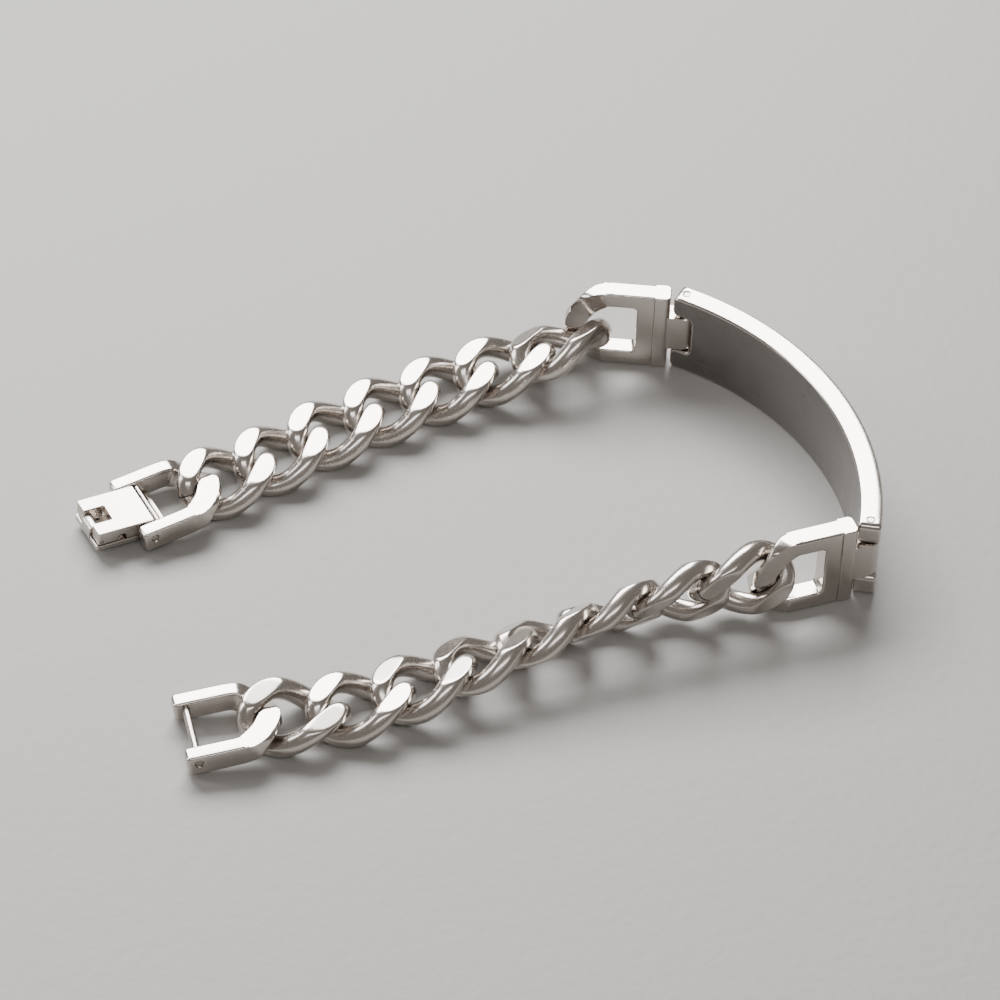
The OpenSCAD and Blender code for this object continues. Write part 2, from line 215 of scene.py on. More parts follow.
class BraceletSizes(bpy.types.PropertyGroup):
    wire: bpy.props.FloatProperty(
        name="Link wire", description="Diameter of the wire of a link",
        default=2.57 * MM, min=2 * MM, max=2.6 * MM, unit="LENGTH", precision=5)
    half_length: bpy.props.FloatProperty(
        name="Link half length", description="Half a link's length, along the middle of its wire",
        default=LINK_A * MM, unit="LENGTH", precision=5)
    half_width: bpy.props.FloatProperty(
        name="Link half width", description="Half a link's width, along the middle of its wire",
        default=3.75 * MM, unit="LENGTH", precision=5)
    filed: bpy.props.FloatProperty(
        name="Filed height", description="Height of a link between its two filed sides",
        default=4.1 * MM, unit="LENGTH", precision=5)
    filed_edge: bpy.props.FloatProperty(
        name="Filed edge", description="How softly a filed side meets the round wire",
        default=0.3 * MM, min=0.05 * MM, max=1 * MM, unit="LENGTH", precision=5)
    twist: bpy.props.FloatProperty(
        name="Twist", description="Turn of each end of a link out of its middle plane",
        default=math.radians(50), unit="ROTATION")
    seam: bpy.props.FloatProperty(
        name="Seam",
        description="Where round a link its wire was closed, from the end that faces the plate",
        default=math.radians(205), unit="ROTATION")
    last_seam: bpy.props.FloatProperty(
        name="Seam by the clasp",
        description="The same on the link nearest the clasp, which fitted the length",
        default=math.radians(181), unit="ROTATION")
    edge: bpy.props.FloatProperty(
        name="Edge rounding", description="Width of the polished edges of the flat pieces",
        default=0.14 * MM, min=0.02 * MM, max=0.3 * MM, unit="LENGTH", precision=5)


class BraceletFinish(bpy.types.PropertyGroup):
    polished: bpy.props.FloatVectorProperty(
        name="Polished steel", description="Colour of the polished pieces",
        subtype="COLOR", default=linear("#CFC8C2"), min=0, max=1)
    # Darker than the polished steel: the inside's brushing is real, and its darkness is painted
    # shade
    satin: bpy.props.FloatVectorProperty(
        name="Satin steel", description="Colour of the plate's brushed inside",
        subtype="COLOR", default=linear("#918D8A"), min=0, max=1)
    floor: bpy.props.FloatVectorProperty(
        name="Floor", description="Colour of the pale floor",
        subtype="COLOR", default=linear("#A6A4A1"), min=0, max=1)


# Nodes and materials
def add(tree, kind, inputs=None, **settings):
    """Adds one node. settings are its own, and inputs gives a socket its value or its source."""
    node = tree.nodes.new(kind)
    for name, value in settings.items():
        setattr(node, name, value)
    for name, value in (inputs or {}).items():
        if isinstance(value, bpy.types.NodeSocket):
            tree.links.new(value, node.inputs[name])
        else:
            node.inputs[name].default_value = value
    return node


def maths(tree, how, *values):
    return add(tree, "ShaderNodeMath", dict(enumerate(values)), operation=how).outputs[0]


def combine(tree, **parts):
    """A vector of the parts X, Y and Z, each 0 where it isn't given."""
    return add(tree, "ShaderNodeCombineXYZ", parts).outputs[0]


def separate(tree, vector):
    return add(tree, "ShaderNodeSeparateXYZ", {0: vector}).outputs


# Faint cloudiness from handling: its size in mm, and how far it tints the metal
CLOUD = 3
CLOUD_TINT, CLOUD_DARKEST = 0.12, 0.94
# Sparse hairline scratches, about 5 mm long and drawn 0.06 mm wide so that they show: the noise's
# size in mm, its slant in radians, the level where they begin and are full, and their roughness
SCRATCH = (5, 0.12, 0.12)
SCRATCH_TURN = (0.5, 0.9, 0.6)
SCRATCH_FROM, SCRATCH_FULL = 0.68, 0.74
SCRATCH_ROUGH = 0.1
# The seam in a link's wire: half its width at the core and with its soft edge, in radians round the
# link, and how dark it is
SEAM_CORE, SEAM_EDGE, SEAM_DARK = 0.008, 0.022, 0.12


def steel(name, colour, rough, spread, grain, bump, lie="straight", turned=0.0, filed=0.0):
    """A bare steel. grain gives the size in mm of its marks along X, Y and Z of the piece, which
    are turned about Z by turned degrees, or lie round the plate's arc, or along the wire. bump is
    their depth in mm. On the wire, filed is the roughness of the filed sides, and a fine dark line
    marks the wire's seam."""
    material = bpy.data.materials.new(name)
    material.use_nodes = True
    tree = material.node_tree
    shader = tree.nodes["Principled BSDF"]
    shader.inputs["Metallic"].default_value = 1.0
    place = add(tree, "ShaderNodeTexCoord").outputs["Object"]
    if lie == "arc":
        centred = add(tree, "ShaderNodeVectorMath", {0: place, 1: ARC_CENTRE * MM},
                      operation="SUBTRACT").outputs[0]
        split = separate(tree, centred)
        angle = maths(tree, "ARCTAN2", split["Y"], split["X"])
        length = maths(tree, "MULTIPLY", angle, PLATE["radius"] * MM)
        flat = combine(tree, X=split["X"], Y=split["Y"])
        outward = add(tree, "ShaderNodeVectorMath", {0: flat}, operation="LENGTH").outputs["Value"]
        place = combine(tree, X=length, Y=outward, Z=split["Z"])
    if lie == "wire":
        section = add(tree, "ShaderNodeAttribute", attribute_name="round").outputs["Vector"]
        split = separate(tree, section)
        length = add(tree, "ShaderNodeAttribute", attribute_name="length").outputs["Fac"]
        place = combine(tree, X=split["X"], Y=split["Y"], Z=length)
    turn = add(tree, "ShaderNodeMapping",
               {"Vector": place, "Rotation": (0, 0, -math.radians(turned))}).outputs[0]
    scaled = add(tree, "ShaderNodeMapping",
                 {"Vector": turn, "Scale": [1 / (g * MM) for g in grain]}).outputs[0]
    marks = add(tree, "ShaderNodeTexNoise",
                {"Vector": scaled, "Scale": 1.0, "Detail": 4.0, "Roughness": 0.6}).outputs["Fac"]
    cloud = add(tree, "ShaderNodeTexNoise",
                {"Vector": place, "Scale": 1 / (CLOUD * MM), "Detail": 2.0}).outputs["Fac"]
    slanted = add(tree, "ShaderNodeMapping", {
        "Vector": place, "Rotation": SCRATCH_TURN,
        "Scale": [1 / (g * MM) for g in SCRATCH]}).outputs[0]
    hair = add(tree, "ShaderNodeTexNoise",
               {"Vector": slanted, "Scale": 1.0, "Detail": 1.0, "Roughness": 0.3}).outputs["Fac"]
    scratch = add(tree, "ShaderNodeMapRange", {
        "Value": hair, "From Min": SCRATCH_FROM, "From Max": SCRATCH_FULL,
        "To Max": SCRATCH_ROUGH}).outputs[0]
    # Marks and cloudiness together, of which nearly all lies between 0.7 and 1.3, set the roughness
    level = add(tree, "ShaderNodeMapRange", {
        "Value": maths(tree, "ADD", marks, cloud), "From Min": 0.7, "From Max": 1.3,
        "To Min": rough - spread, "To Max": rough + spread}).outputs[0]
    tint = maths(tree, "MULTIPLY_ADD", cloud, CLOUD_TINT, CLOUD_DARKEST)
    if lie == "wire":
        flag = add(tree, "ShaderNodeAttribute", attribute_name="filed").outputs["Fac"]
        level = add(tree, "ShaderNodeMapRange",
                    {"Value": flag, "To Min": level, "To Max": filed}).outputs[0]
        seam = add(tree, "ShaderNodeAttribute", attribute_name="seam").outputs["Fac"]
        clear = add(tree, "ShaderNodeMapRange", {
            "Value": maths(tree, "ABSOLUTE", seam), "From Min": SEAM_CORE, "From Max": SEAM_EDGE,
            "To Min": SEAM_DARK, "To Max": 1.0}).outputs[0]
        tint = maths(tree, "MULTIPLY", tint, clear)
    shade = add(tree, "ShaderNodeVectorMath", {0: colour, "Scale": tint},
                operation="SCALE").outputs[0]
    tree.links.new(shade, shader.inputs["Base Color"])
    tree.links.new(maths(tree, "ADD", level, scratch), shader.inputs["Roughness"])
    relief = add(tree, "ShaderNodeBump",
                 {"Height": marks, "Strength": 1.0, "Distance": bump * MM}).outputs[0]
    tree.links.new(relief, shader.inputs["Normal"])
    return material


MATERIALS = {}


def make_materials():
    finish = bpy.context.scene.bracelet_finish
    polished, satin = tuple(finish.polished), tuple(finish.satin)
    dull = tuple(c * 0.8 for c in polished)
    # Stainless steel wire, tumbled and then polished: bright, with soft streaks along the wire
    MATERIALS["links"] = steel(
        "tumbled_stainless_wire", polished, 0.22, 0.06, (0.16, 0.16, 3.0), 0.0016, "wire",
        filed=0.19)
    # Cast stainless steel, polished on a wheel: a clear reflection under a slight haze
    MATERIALS["polished"] = steel(
        "wheel_polished_stainless", polished, 0.17, 0.05, (0.9, 0.25, 0.25), 0.0008)
    # Stainless sheet, brushed: lengthwise hairlines that spread a highlight across them. Its darker
    # colour is painted shade on the plate's inside
    MATERIALS["satin"] = steel(
        "brushed_sheet_painted_shade", satin, 0.34, 0.1, (4.0, 1.0, 0.1), 0.004, "arc")
    # The same sheet's edges, buffed after brushing, in the polished colour without the inside's
    # painted shade
    MATERIALS["plate_edge"] = steel(
        "buffed_stainless_edge", polished, 0.17, 0.05, (2.0, 1.0, 0.3), 0.0008, "arc")
    # Milled stainless block, rubbed on fine paper: pale and soft, with short straight lines
    MATERIALS["block"] = steel(
        "papered_stainless_block", polished, 0.27, 0.06, (1.8, 0.12, 0.12), 0.001,
        turned=CLASP_END.heading)
    # Drawn stainless wire cut for pins: duller, with faint rings from the die
    MATERIALS["pin"] = steel(
        "drawn_stainless_pin", dull, 0.24, 0.06, (0.3, 0.3, 0.06), 0.001)


# Meshes
def linked(name, data):
    """A new object in the scene."""
    obj = bpy.data.objects.new(name, data)
    bpy.context.scene.collection.objects.link(obj)
    return obj


def piece(name, bm, body, nodes, materials):
    """Finishes a mesh as a piece: in metres, its faces outward, riding in place of its nodes."""
    bmesh.ops.recalc_face_normals(bm, faces=bm.faces)
    if bm.calc_volume(signed=True) < 0:
        bmesh.ops.reverse_faces(bm, faces=bm.faces)
    bmesh.ops.scale(bm, vec=(MM, MM, MM), verts=bm.verts)
    mesh = bpy.data.meshes.new(name)
    bm.to_mesh(mesh)
    bm.free()
    obj = linked(name, mesh)
    for material in materials:
        mesh.materials.append(MATERIALS[material])
    # Large flat faces keep their own direction, and the rounded edges between them take up the turn
    modifier = obj.modifiers.new("flat_faces", "WEIGHTED_NORMAL")
    modifier.keep_sharp, modifier.weight = True, 80
    graph = bpy.context.evaluated_depsgraph_get()
    obj.data = bpy.data.meshes.new_from_object(obj.evaluated_get(graph))
    obj.modifiers.clear()
    bpy.data.meshes.remove(mesh)
    obj.data.name = name
    return ride(obj, body, nodes)


def ride(obj, body, nodes):
    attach(obj, body)
    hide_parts(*nodes)
    return obj


def smooth(bm, angle=32):
    """Shades smooth, with the edges sharper than angle kept crisp."""
    for face in bm.faces:
        face.smooth = True
    for edge in bm.edges:
        edge.smooth = edge.is_manifold and edge.calc_face_angle(0) < math.radians(angle)
    return bm


def moved(bm, matrix):
    bmesh.ops.transform(bm, matrix=matrix, verts=bm.verts)
    return bm


def rounded(corners, steps=6):
    """A closed outline through corners (x, y, radius), each rounded to its radius."""
    points = []
    for i, (x, y, r) in enumerate(corners):
        here = Vector((x, y))
        back = (Vector(corners[i - 1][:2]) - here).normalized()
        on = (Vector(corners[(i + 1) % len(corners)][:2]) - here).normalized()
        if not r:
            points.append(here)
            continue
        half = back.angle(on) / 2
        centre = here + (back + on).normalized() * (r / math.sin(half))
        reach = r / math.tan(half)
        first, last = here + back * reach - centre, here + on * reach - centre
        start = math.atan2(first.y, first.x)
        sweep = (math.atan2(last.y, last.x) - start + math.pi) % (2 * math.pi) - math.pi
        for k in range(steps + 1):
            a = start + sweep * k / steps
            points.append(centre + r * Vector((math.cos(a), math.sin(a))))
    return points


def prism(outline, low, high, bevel=0.0, segments=3):
    """An outline in X and Y, given height from low to high along Z, its rims rounded."""
    bm = bmesh.new()
    bm.faces.new([bm.verts.new((x, y, low)) for x, y in outline])
    raised = bmesh.ops.extrude_face_region(bm, geom=bm.faces[:])["geom"]
    bmesh.ops.translate(bm, vec=(0, 0, high - low),
                        verts=[v for v in raised if isinstance(v, bmesh.types.BMVert)])
    bmesh.ops.recalc_face_normals(bm, faces=bm.faces)
    if bevel:
        rim = [e for e in bm.edges if abs(e.verts[0].co.z - e.verts[1].co.z) < 1e-6]
        bmesh.ops.bevel(bm, geom=rim, offset=bevel, segments=segments, affect="EDGES",
                        profile=0.5, clamp_overlap=True)
    return bm


def box(low, high, bevel=0.0, corner=0.0):
    """A box from one corner to the other, its upright corners and its rims rounded."""
    corners = [(low[0], low[1]), (high[0], low[1]), (high[0], high[1]), (low[0], high[1])]
    return prism(rounded([(x, y, corner) for x, y in corners]), low[2], high[2], bevel)


def rod(length, diameter, chamfer=0.0, sides=64):
    """A rod along Y, centred, with a chamfer at each end."""
    r, half = diameter / 2, length / 2
    rings = [(-half, r - chamfer), (-half + chamfer, r), (half - chamfer, r), (half, r - chamfer)]
    if not chamfer:
        rings = rings[::3]
    bm = bmesh.new()
    loops = [[bm.verts.new((q * math.cos(a), y, q * math.sin(a)))
              for a in (2 * math.pi * k / sides for k in range(sides))] for y, q in rings]
    for a, b in zip(loops, loops[1:]):
        for k in range(sides):
            bm.faces.new((a[k], a[(k + 1) % sides], b[(k + 1) % sides], b[k]))
    bm.faces.new(loops[0])
    bm.faces.new(loops[-1])
    bmesh.ops.recalc_face_normals(bm, faces=bm.faces)
    return bm


def joined(base, others, how):
    """The union or difference of closed meshes."""
    made = []
    for bm in (base, *others):
        bmesh.ops.recalc_face_normals(bm, faces=bm.faces)
        mesh = bpy.data.meshes.new("part")
        bm.to_mesh(mesh)
        bm.free()
        made.append(linked("part", mesh))
    for other in made[1:]:
        modifier = made[0].modifiers.new("join", "BOOLEAN")
        modifier.object, modifier.operation, modifier.solver = other, how, "MANIFOLD"
    result = bmesh.new()
    result.from_object(made[0], bpy.context.evaluated_depsgraph_get())
    for obj in made:
        mesh = obj.data
        bpy.data.objects.remove(obj)
        bpy.data.meshes.remove(mesh)
    bmesh.ops.remove_doubles(result, verts=result.verts, dist=WELD)
    bmesh.ops.dissolve_degenerate(result, edges=result.edges, dist=WELD)
    if not all(e.is_manifold for e in result.edges):
        raise RuntimeError("a joined mesh has open edges")
    return result


# The bend of a curb ring and of the rounded ends, as in the solids
def curb_point(t, a, b, twist):
    f = -twist * math.cos(t)
    return Vector((a * math.cos(t), b * math.sin(t) * math.cos(f), b * math.sin(t) * math.sin(f)))


def curb_up(t, twist):
    f = -twist * math.cos(t)
    return Vector((0, -math.sin(f), math.cos(f)))


def round_bar(half_w, half_h, corner, steps=4):
    """A bar's cross-section, its corners rounded."""
    points = []
    for turn, (sx, sy) in enumerate(((1, 1), (-1, 1), (-1, -1), (1, -1))):
        for k in range(steps + 1):
            a = math.pi / 2 * (turn + k / steps)
            points.append((sx * (half_w - corner) + corner * math.cos(a),
                           sy * (half_h - corner) + corner * math.sin(a)))
    return points


def soft_limit(value, limit, soft=0.2):
    """The value kept within plus or minus the limit, easing in over soft."""
    h = max(soft - abs(abs(value) - limit), 0) / soft
    return math.copysign(min(abs(value), limit) - h ** 3 * soft / 6, value)


def bent_frame(arm_from, size, cap=0.0):
    """Two arms and half a curb ring between them, with the rounded end at +X. The arms' free ends
    are rounded by cap, and the bend between arm and ring is eased."""
    width, thick, arm = size["width"], size["thick"], size["arm"]
    twist = math.radians(size["twist"])
    middle_w, bend_at = (width - arm) / 2, size["reach"] - LOOP_WIRE / 2 - LOOP_LONG
    turns = [math.radians(a) for a in range(0, 91, 18)] if cap else [0]
    ends = [(arm_from + cap * (1 - math.cos(a)), cap * (1 - math.sin(a))) for a in turns]
    start = ends[-1][0]
    count = round((bend_at - start) / ARM_STEP)
    ends += [(start + (bend_at - start) * k / count, 0) for k in range(1, count + 1)]
    arms = []
    for side in (-1, 1):
        arms.append([(Vector((x, side * middle_w, 0)), Vector((0, 0, 1)),
                      (arm / 2 - inset, thick / 2 - inset, ARM_CORNER)) for x, inset in ends])
    loop = []
    for degrees in range(-90 + LOOP_STEP, 91 - LOOP_STEP, LOOP_STEP):
        t = math.radians(degrees)
        p = curb_point(t, LOOP_LONG, middle_w, twist) + Vector((bend_at, 0, 0))
        half = LOOP_WIRE / 2 + LOOP_FULL * abs(math.sin(2 * t))
        blend = min(1, (90 - abs(degrees)) / BLEND_OVER)
        shape = (half, thick / 2 + (LOOP_WIRE - thick) / 2 * blend,
                 ARM_CORNER + (LOOP_CORNER - ARM_CORNER) * blend)
        loop.append((p, curb_up(t, twist), shape))
    stations = arms[0] + loop + arms[1][::-1]
    middles, ups, shapes = (list(column) for column in zip(*stations))
    fixed = len(turns) + 1
    for _ in range(EASE_ROUNDS):
        for line in (middles, ups):
            line[fixed:-fixed] = [(line[i - 1] + 2 * line[i] + line[i + 1]) / 4
                                  for i in range(fixed, len(line) - fixed)]
    bm = bmesh.new()
    rings = []
    last = len(middles) - 1
    for i, (p, up, shape) in enumerate(zip(middles, ups, shapes)):
        way = (middles[min(i + 1, last)] - middles[max(i - 1, 0)]).normalized()
        across = way.cross(up).normalized()
        top = across.cross(way)
        ring = []
        for x, y in round_bar(*shape):
            q = p + x * across + y * top
            q.y = max(-width / 2, min(width / 2, q.y))
            q.z = soft_limit(q.z, thick / 2)
            ring.append(bm.verts.new(q))
        rings.append(ring)
    for a, b in zip(rings, rings[1:]):
        for k in range(len(a)):
            bm.faces.new((a[k], b[k], b[(k + 1) % len(a)], a[(k + 1) % len(a)]))
    bm.faces.new(rings[0][::-1])
    bm.faces.new(rings[-1])
    bmesh.ops.remove_doubles(bm, verts=bm.verts, dist=0.001)
    bmesh.ops.recalc_face_normals(bm, faces=bm.faces)
    return bm


class BRACELET_OT_plate(bpy.types.Operator):
    """Makes the bent identity plate with its two notched ends, and the pins through them"""
    bl_idname = "bracelet.plate"
    bl_label = "Plate"

    def execute(self, context):
        edge = context.scene.bracelet_sizes.edge / MM
        half, high, thick = PLATE["length"] / 2, PLATE["height"], PLATE["thick"]
        lobe, floor = (high - PLATE["notch_height"]) / 2, half - PLATE["notch_depth"]
        end = [(half, 0), (half, lobe), (floor, lobe), (floor, high - lobe), (half, high - lobe),
               (half, high)]
        both = end + [(-x, z) for x, z in end[::-1]]
        outline = rounded([(x, z, PLATE["corner"]) for x, z in both], 7)
        # The plate's edges are rounded more than twice as wide as those of the small pieces
        bm = moved(prism(outline, -thick / 2, thick / 2, edge * 2.3),
                   Matrix.Rotation(math.pi / 2, 4, "X"))
        bores = []
        for side in (-1, 1):
            at = Matrix.Translation((side * (half - PLATE["pin_inset"]), 0, 0))
            bores.append(moved(rod(2 * high + 2 * PAST, BORE_D), at @ UPRIGHT))
            # The mouth of a bore is sunk a little, which draws a ring round the pin's end
            for z in (0, high):
                bores.append(moved(rod(*MOUTH), at @ Matrix.Translation((0, 0, z)) @ UPRIGHT))
        bm = joined(bm, bores, "DIFFERENCE")
        # Cut across so finely that the flat plate bends smoothly round the arc
        cuts = 96
        for k in range(1, cuts):
            bmesh.ops.bisect_plane(
                bm, geom=bm.verts[:] + bm.edges[:] + bm.faces[:],
                plane_co=(half * (2 * k / cuts - 1), 0, 0), plane_no=(1, 0, 0), dist=1e-5)
        # The flat inside is brushed and darkened with painted shade, and all the rest is buffed
        for face in bm.faces:
            face.normal_update()
            face.material_index = 0 if face.normal.y < -0.99 else 1
        for v in bm.verts:
            angle = math.radians(PLATE_TURN) + v.co.x / PLATE["radius"]
            r = plate_mid_r() + v.co.y
            v.co = Vector((ARC_CENTRE.x + r * math.cos(angle), ARC_CENTRE.y + r * math.sin(angle),
                           v.co.z))
        piece("id_plate", smooth(bm, 30), "plate", ["plate"],
              ["satin", "plate_edge"])
        for name, pin in (("clasp_side_plate_pin", CLASP_PIN), ("catch_side_plate_pin", CATCH_PIN)):
            bm = moved(rod(high - 2 * RECESS, PIN_D, PLATE["pin_chamfer"]),
                       Matrix.Translation(pin + HALF_UP) @ UPRIGHT)
            piece("turned_" + name, smooth(bm), "plate", [name], ["pin"])
        return {"FINISHED"}


def connector_mesh(edge):
    """A connector with its pin at the origin and its rounded end at -X, its height along Y."""
    c, half = CONNECTOR, PLATE["height"] / 2
    bend_at = c["reach"] - LOOP_WIRE / 2 - LOOP_LONG
    near, far = c["band_lap"] - c["bar_from"] - c["band"], -c["bar_from"] - c["bar"]
    inner, side = half - c["arm"], half - APART
    flat, rise = c["thick"] / 2 - APART, c["thick"] / 2 + c["step"]
    corners = [(near, -side, 0), (near, side, 0), (-bend_at, side, 0), (-bend_at, inner, 0),
               (far, inner, c["window_corner"]), (far, -inner, c["window_corner"]),
               (-bend_at, -inner, 0), (-bend_at, -side, 0)]
    body = prism(rounded(corners), -flat, flat, edge * 2)
    loop = bent_frame(bend_at - c["loop_lap"], {**c, "width": PLATE["height"]})
    body = joined(body, [moved(loop, Matrix.Rotation(math.pi, 4, "Z"))], "UNION")
    # A fine groove runs along the band
    g, deep = -c["bar_from"] - c["band"], c["groove_deep"]
    low, high = g - c["groove"], g + c["groove_lap"]
    grooves = [box((low, -half - PAST, flat - deep), (high, half + PAST, flat + PAST)),
               box((low, -half - PAST, -flat - PAST), (high, half + PAST, deep - flat))]
    body = joined(body, grooves, "DIFFERENCE")
    # The band's section, seen from above: its back is rounded
    section = [(g, -rise, c["band_corner"]), (-c["bar_from"], -rise, c["back_corner"]),
               (-c["bar_from"], rise, c["back_corner"]), (g, rise, c["band_corner"])]
    band = moved(prism(rounded(section), -half, half, edge * 1.5),
                 Matrix.Rotation(math.pi / 2, 4, "X"))
    tab = box((-c["bar_from"] - c["tab_lap"], APART - c["knuckle"] / 2, 2 * APART - flat),
              (0, c["knuckle"] / 2 - APART, flat - 2 * APART))
    knuckle = rod(c["knuckle"], c["thick"] - 2 * APART, edge)
    return joined(body, [band, tab, knuckle], "UNION")


class BRACELET_OT_connectors(bpy.types.Operator):
    """Makes the two connectors that turn on the plate's pins"""
    bl_idname = "bracelet.connectors"
    bl_label = "Connectors"

    def execute(self, context):
        edge = context.scene.bracelet_sizes.edge / MM
        for side, place in (("clasp_side", CLASP_SIDE_PLACE), ("catch_side", CATCH_SIDE_PLACE)):
            bm = joined(connector_mesh(edge), [rod(PLATE["height"], BORE_D)], "DIFFERENCE")
            bm = smooth(moved(bm, place))
            piece(side + "_frame", bm, side + "_strand", [side + "_connector"],
                  ["polished"])
        return {"FINISHED"}


def link_tree():
    """Bends a ring of wire into a curb link, files two sides flat and sets one at each point."""
    tree = bpy.data.node_groups.new("curb_links", "GeometryNodeTree")
    face = tree.interface
    face.new_socket("Geometry", in_out="INPUT", socket_type="NodeSocketGeometry")
    for name in ("Wire", "Half length", "Half width", "Filed height", "Filed edge", "Twist"):
        face.new_socket(name, in_out="INPUT", socket_type="NodeSocketFloat")
    for name, kind in (("Stations", "Int"), ("Sides", "Int"), ("Finish", "Material")):
        face.new_socket(name, in_out="INPUT", socket_type="NodeSocket" + kind)
    face.new_socket("Geometry", in_out="OUTPUT", socket_type="NodeSocketGeometry")
    given = add(tree, "NodeGroupInput").outputs

    def marked(geometry, name, value, kind="FLOAT"):
        return add(tree, "GeometryNodeStoreNamedAttribute",
                   {"Geometry": geometry, "Name": name, "Value": value},
                   data_type=kind, domain="POINT").outputs[0]

    def mark(name, kind="FLOAT"):
        node = add(tree, "GeometryNodeInputNamedAttribute", {"Name": name}, data_type=kind)
        return node.outputs["Attribute"]

    def position():
        return add(tree, "GeometryNodeInputPosition").outputs[0]

    # The middle of the wire, from the end that faces the plate
    ring = add(tree, "GeometryNodeCurvePrimitiveCircle",
               {"Resolution": given["Stations"], "Radius": 1.0}).outputs["Curve"]
    share = add(tree, "GeometryNodeSplineParameter").outputs["Factor"]
    turn = maths(tree, "MULTIPLY", share, 2 * math.pi)
    cos_t, sin_t = maths(tree, "COSINE", turn), maths(tree, "SINE", turn)
    lean = maths(tree, "MULTIPLY", maths(tree, "MULTIPLY", given["Twist"], -1.0), cos_t)
    out = maths(tree, "MULTIPLY", given["Half width"], sin_t)
    where = combine(tree, X=maths(tree, "MULTIPLY", given["Half length"], cos_t),
                    Y=maths(tree, "MULTIPLY", out, maths(tree, "COSINE", lean)),
                    Z=maths(tree, "MULTIPLY", out, maths(tree, "SINE", lean)))
    back = maths(tree, "ABSOLUTE", maths(tree, "SUBTRACT", turn, math.pi))
    length = maths(tree, "MULTIPLY", back, given["Half length"])
    path = marked(ring, "ring", combine(tree, X=cos_t, Y=sin_t), "FLOAT_VECTOR")
    path = marked(path, "length", length)
    bent = add(tree, "GeometryNodeSetPosition", {"Geometry": path, "Position": where}).outputs[0]
    section = add(tree, "GeometryNodeCurvePrimitiveCircle",
                  {"Resolution": given["Sides"],
                   "Radius": maths(tree, "DIVIDE", given["Wire"], 2.0)}).outputs["Curve"]
    section = marked(section, "round", position(), "FLOAT_VECTOR")
    wire = add(tree, "GeometryNodeCurveToMesh",
               {"Curve": bent, "Profile Curve": section}).outputs[0]
    # Files the top and the underside flat
    split = separate(tree, position())
    high = maths(tree, "ABSOLUTE", split["Z"])
    limit = maths(tree, "DIVIDE", given["Filed height"], 2.0)
    above = maths(tree, "DIVIDE", maths(tree, "SUBTRACT", high, limit), given["Filed edge"])
    flag = add(tree, "ShaderNodeClamp", {"Value": above}).outputs[0]
    eased = maths(tree, "SMOOTH_MIN", high, limit, given["Filed edge"])
    level = maths(tree, "MULTIPLY", eased, maths(tree, "SIGN", split["Z"]))
    filed = add(tree, "GeometryNodeSetPosition",
                {"Geometry": marked(wire, "filed", flag),
                 "Position": combine(tree, X=split["X"], Y=split["Y"], Z=level)}).outputs[0]
    shaded = add(tree, "GeometryNodeSetShadeSmooth", {"Geometry": filed}).outputs[0]
    # Sets one link at each point, turned as the point says
    placed = add(tree, "GeometryNodeInstanceOnPoints",
                 {"Points": given["Geometry"], "Instance": shaded,
                  "Rotation": mark("turn", "FLOAT_VECTOR")}).outputs[0]
    real = add(tree, "GeometryNodeRealizeInstances", {"Geometry": placed}).outputs[0]
    # Nothing dips below what the bracelet lies on
    split = separate(tree, position())
    lifted = combine(tree, X=split["X"], Y=split["Y"],
                     Z=maths(tree, "MAXIMUM", split["Z"], LEAST_HEIGHT * MM))
    resting = add(tree, "GeometryNodeSetPosition",
                  {"Geometry": real, "Position": lifted}).outputs[0]
    # How far each point is from its link's seam, and 1 on the far half of the ring
    seam_at = mark("seam_at")
    aim = combine(tree, X=maths(tree, "COSINE", seam_at), Y=maths(tree, "SINE", seam_at))
    around = mark("ring", "FLOAT_VECTOR")
    ahead = add(tree, "ShaderNodeVectorMath", {0: aim, 1: around},
                operation="DOT_PRODUCT").outputs["Value"]
    off = add(tree, "ShaderNodeVectorMath", {0: aim, 1: around},
              operation="CROSS_PRODUCT").outputs[0]
    near = maths(tree, "GREATER_THAN", ahead, 0.0)
    seam = maths(tree, "MULTIPLY_ADD", separate(tree, off)["Z"], near,
                 maths(tree, "SUBTRACT", 1.0, near))
    coated = add(tree, "GeometryNodeSetMaterial",
                 {"Geometry": marked(resting, "seam", seam),
                  "Material": given["Finish"]}).outputs[0]
    add(tree, "NodeGroupOutput", {"Geometry": coated})
    return tree


